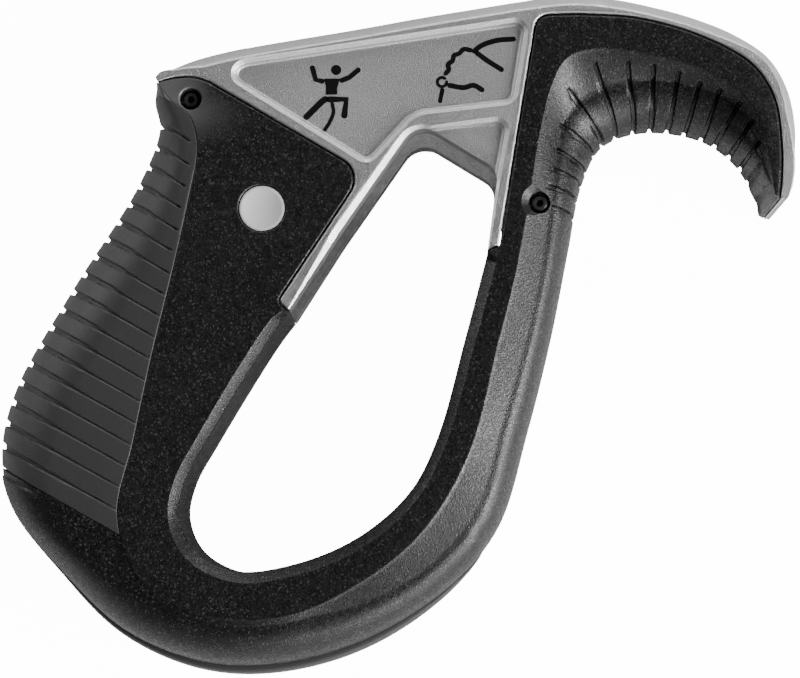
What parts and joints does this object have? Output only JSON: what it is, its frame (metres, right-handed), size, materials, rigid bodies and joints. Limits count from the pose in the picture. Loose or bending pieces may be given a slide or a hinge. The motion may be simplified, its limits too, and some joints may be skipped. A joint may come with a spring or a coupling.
{
  "type": "belay device with thumb hook",
  "caption": "Single-rope assisted-braking belay device: a metal frame with a rope slot and thumb hook in a black nylon body round a carabiner window.",
  "frame": {"origin": "centre of the overall box at its lowest level, the far face", "axes": "+X from the handle to the thumb hook, +Y from the bottom of the body to the rope slot, +Z through the thickness from the far face to the near face"},
  "size_m": [0.1072, 0.0914, 0.022],
  "materials": {
    "blasted_aluminium": "bead-blasted forging, bright on its worn edges",
    "brake_steel": "ground hard steel",
    "black_nylon": "glass-filled nylon, fine grain with pale speckle",
    "grip_rubber": "satin moulded rubber",
    "black_pin_steel": "black oxide",
    "badge_grey": "plain pale grey disc"
  },
  "bodies": {
    "root": {"frame": "blasted_aluminium", "brake_insert": "brake_steel", "insert_rivet_lower": "brake_steel", "insert_rivet_upper": "brake_steel", "near_shell": "black_nylon", "far_shell": "black_nylon", "near_grip": "grip_rubber", "far_grip": "grip_rubber", "near_badge": "badge_grey", "far_badge": "badge_grey", "bottom_bumper": "grip_rubber", "handle_pin": "black_pin_steel", "hook_pin": "black_pin_steel"}
  },
  "joints": []
}
